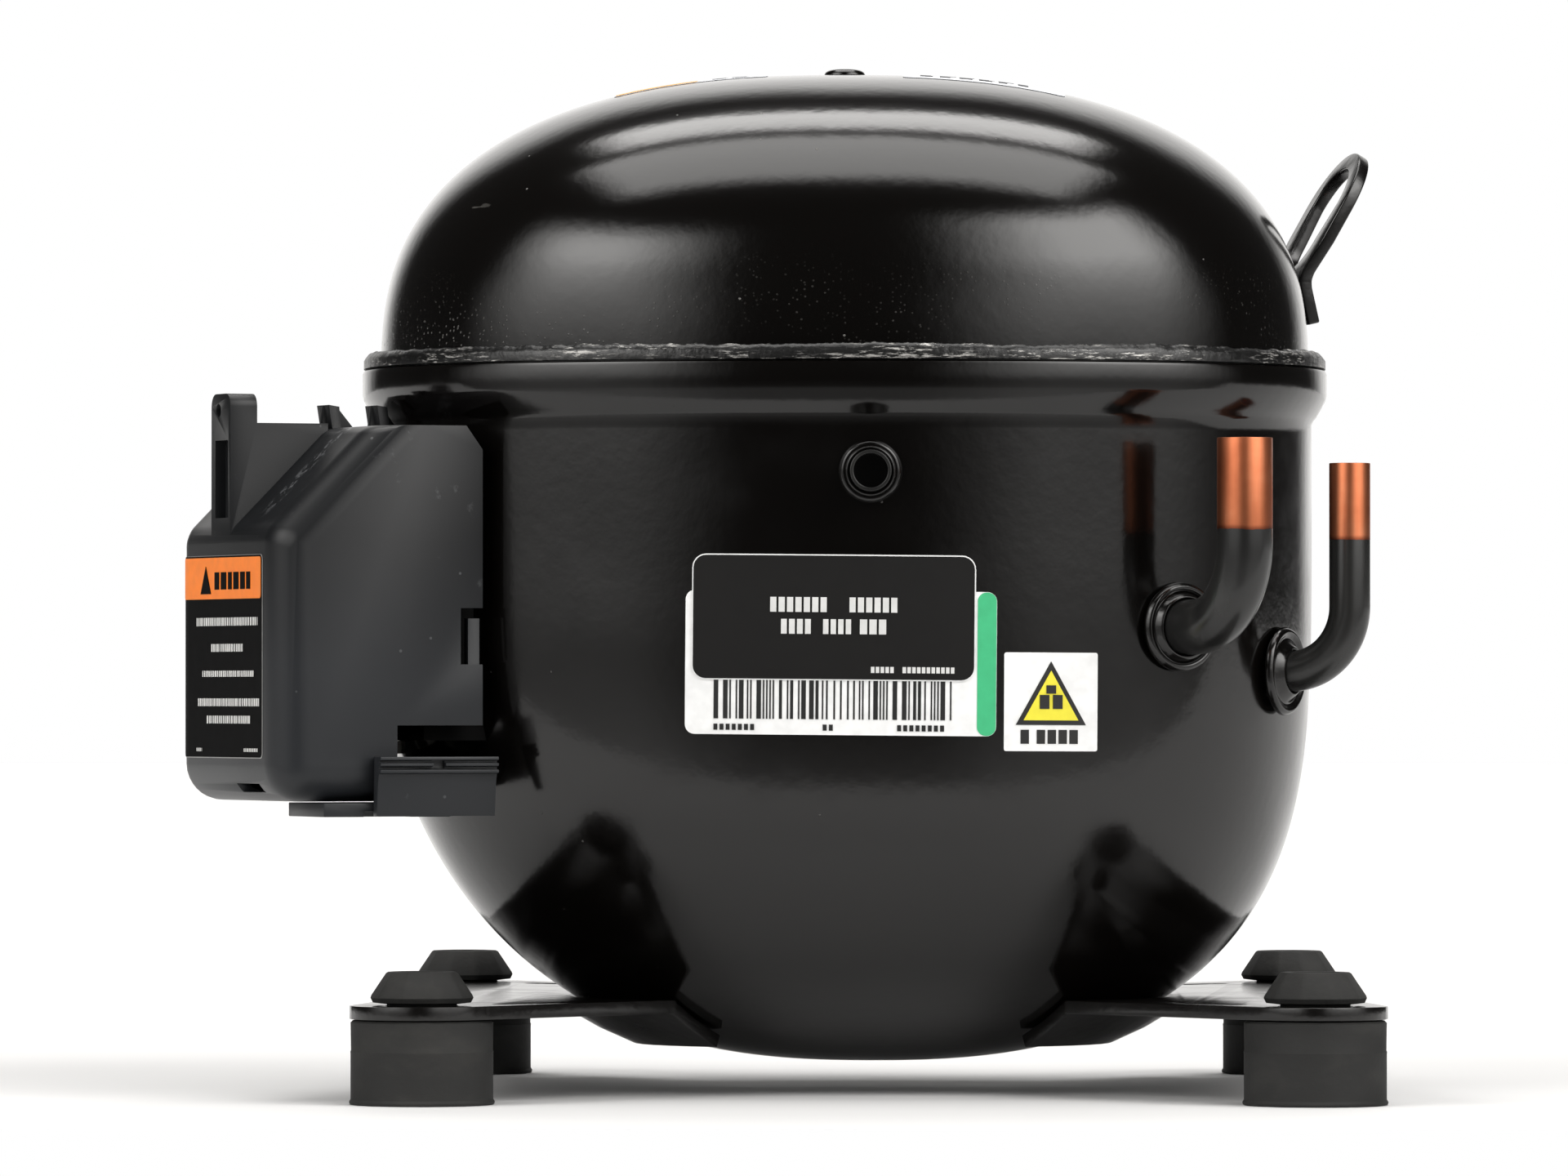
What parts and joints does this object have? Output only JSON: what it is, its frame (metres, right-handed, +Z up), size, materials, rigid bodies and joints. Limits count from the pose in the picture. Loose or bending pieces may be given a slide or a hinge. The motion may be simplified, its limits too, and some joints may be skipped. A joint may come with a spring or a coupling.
{
  "type": "hermetic reciprocating compressor",
  "caption": "Welded black steel compressor shell on rubber feet, with copper tube stubs, a terminal cover, a lifting eye and a sprung reciprocating pump and motor inside.",
  "frame": {"origin": "on the floor under the middle of the machine's bounding box", "axes": "+Z up, -Y towards the label side with the tube stubs, +X towards the lifting eye, away from the terminal cover"},
  "size_m": [0.2789, 0.2364, 0.2411],
  "materials": {
    "shell_paint": "gloss black enamel with faint orange peel and dust",
    "weld_bead": "scuffed weld bead, black paint worn to bare steel",
    "bracket_paint": "gloss black enamel on pressed steel",
    "grommet_rubber": "matt chalky black rubber",
    "copper": "bare drawn copper on the open ends, painted black lower down",
    "terminal_plastic": "satin dark grey moulded plastic",
    "relay_plastic": "pale moulded plastic",
    "zinc_steel": "zinc plated steel",
    "spring_steel": "oiled spring steel",
    "cast_iron": "machined grey iron",
    "lamination": "stacked electrical steel",
    "winding": "enamelled copper wire",
    "aluminium": "die cast",
    "muffler_plastic": "moulded plastic",
    "gasket_fibre": "pressed fibre",
    "label_film": "printed film labels"
  },
  "bodies": {
    "housing": {"upper_shell": "shell_paint", "lower_shell": "shell_paint", "dome_plug": "shell_paint", "seam_weld": "weld_bead", "lifting_eye": "bracket_paint", "base_plate_left": "bracket_paint", "base_plate_right": "bracket_paint", "suction_collar": "bracket_paint", "discharge_collar": "bracket_paint", "process_collar": "bracket_paint", "terminal_fence": "bracket_paint", "spring_seat_front_left": "bracket_paint", "spring_seat_front_right": "bracket_paint", "spring_seat_rear_left": "bracket_paint", "spring_seat_rear_right": "bracket_paint", "foot_grommet_front_left": "grommet_rubber", "foot_grommet_front_right": "grommet_rubber", "foot_grommet_rear_left": "grommet_rubber", "foot_grommet_rear_right": "grommet_rubber", "suction_tube": "copper", "discharge_tube": "copper", "process_tube": "copper", "start_relay": "relay_plastic", "hermetic_terminal": "zinc_steel", "terminal_pin_common": "zinc_steel", "terminal_pin_start": "zinc_steel", "terminal_pin_run": "zinc_steel", "ground_screw": "zinc_steel", "overload_protector": "zinc_steel"},
    "terminal_cover": {"terminal_cover": "terminal_plastic", "cord_clamp_base": "terminal_plastic"},
    "cord_clamp": {"cord_clamp": "terminal_plastic"},
    "pump": {"cylinder_block": "cast_iron", "cylinder_head": "aluminium", "valve_plate": "spring_steel", "head_gasket": "gasket_fibre", "head_bolt_1": "zinc_steel", "head_bolt_2": "zinc_steel", "head_bolt_3": "zinc_steel", "head_bolt_4": "zinc_steel", "stator_core": "lamination", "winding_upper": "winding", "winding_lower": "winding", "suction_muffler": "muffler_plastic", "discharge_shock_tube": "copper", "suspension_spring_front_left": "spring_steel", "suspension_spring_front_right": "spring_steel", "suspension_spring_rear_left": "spring_steel", "suspension_spring_rear_right": "spring_steel"},
    "crankshaft": {"crankshaft": "cast_iron", "oil_pickup": "spring_steel", "rotor_core": "lamination", "rotor_end_ring_upper": "aluminium", "rotor_end_ring_lower": "aluminium"},
    "slider_block": {"slider_block": "spring_steel"},
    "gallery_plug": {"gallery_plug": "zinc_steel"},
    "yoke_piston": {"yoke_piston": "cast_iron"},
    "suction_reed": {"suction_reed": "spring_steel"},
    "discharge_reed": {"discharge_reed": "spring_steel"}
  },
  "joints": [
    {"name": "cover_slide", "type": "slide", "parent": "housing", "child": "terminal_cover", "axis": [-0.9135, -0.4067, 0], "range_m": [0, 0.07]},
    {"name": "cord_clamp_hinge", "type": "hinge", "parent": "terminal_cover", "child": "cord_clamp", "pos_m": [-0.07904, -0.0807, 0.0664], "axis": [0.9135, 0.4067, 0], "range_deg": [0, 75]},
    {"name": "suspension", "type": "slide", "parent": "housing", "child": "pump", "axis": [0, 0, 1], "range_m": [-0.0025, 0.0025], "stiffness_N_per_m": 36000, "springref_m": 0.0022, "deforming": ["suspension_spring_front_left", "suspension_spring_front_right", "suspension_spring_rear_left", "suspension_spring_rear_right", "discharge_shock_tube"]},
    {"name": "crank_spin", "type": "hinge", "parent": "pump", "child": "crankshaft", "pos_m": [0.0142, 0, 0.174], "axis": [0, 0, 1], "continuous": true},
    {"name": "slider_spin", "type": "hinge", "parent": "crankshaft", "child": "slider_block", "pos_m": [0.0242, 0, 0.174], "axis": [0, 0, 1], "continuous": true},
    {"name": "gallery_spin", "type": "hinge", "parent": "crankshaft", "child": "gallery_plug", "pos_m": [0.0192, 0, 0.1863], "axis": [0, 0, 1], "continuous": true},
    {"name": "yoke_spin", "type": "hinge", "parent": "gallery_plug", "child": "yoke_piston", "pos_m": [0.0242, 0, 0.174], "axis": [0, 0, 1], "continuous": true},
    {"name": "suction_reed_flex", "type": "hinge", "parent": "pump", "child": "suction_reed", "pos_m": [0.0834, -0.007, 0.187], "axis": [0, 1, 0], "range_deg": [0, 3.2], "stiffness_Nm_per_rad": 0.02},
    {"name": "discharge_reed_flex", "type": "hinge", "parent": "pump", "child": "discharge_reed", "pos_m": [0.0878, 0.007, 0.187], "axis": [0, -1, 0], "range_deg": [0, 3.2], "stiffness_Nm_per_rad": 0.02}
  ],
  "couplings": [
    {"joint": "slider_spin", "follows": "crank_spin", "ratio": -1},
    {"joint": "gallery_spin", "follows": "crank_spin", "ratio": -2},
    {"joint": "yoke_spin", "follows": "crank_spin", "ratio": 1}
  ]
}
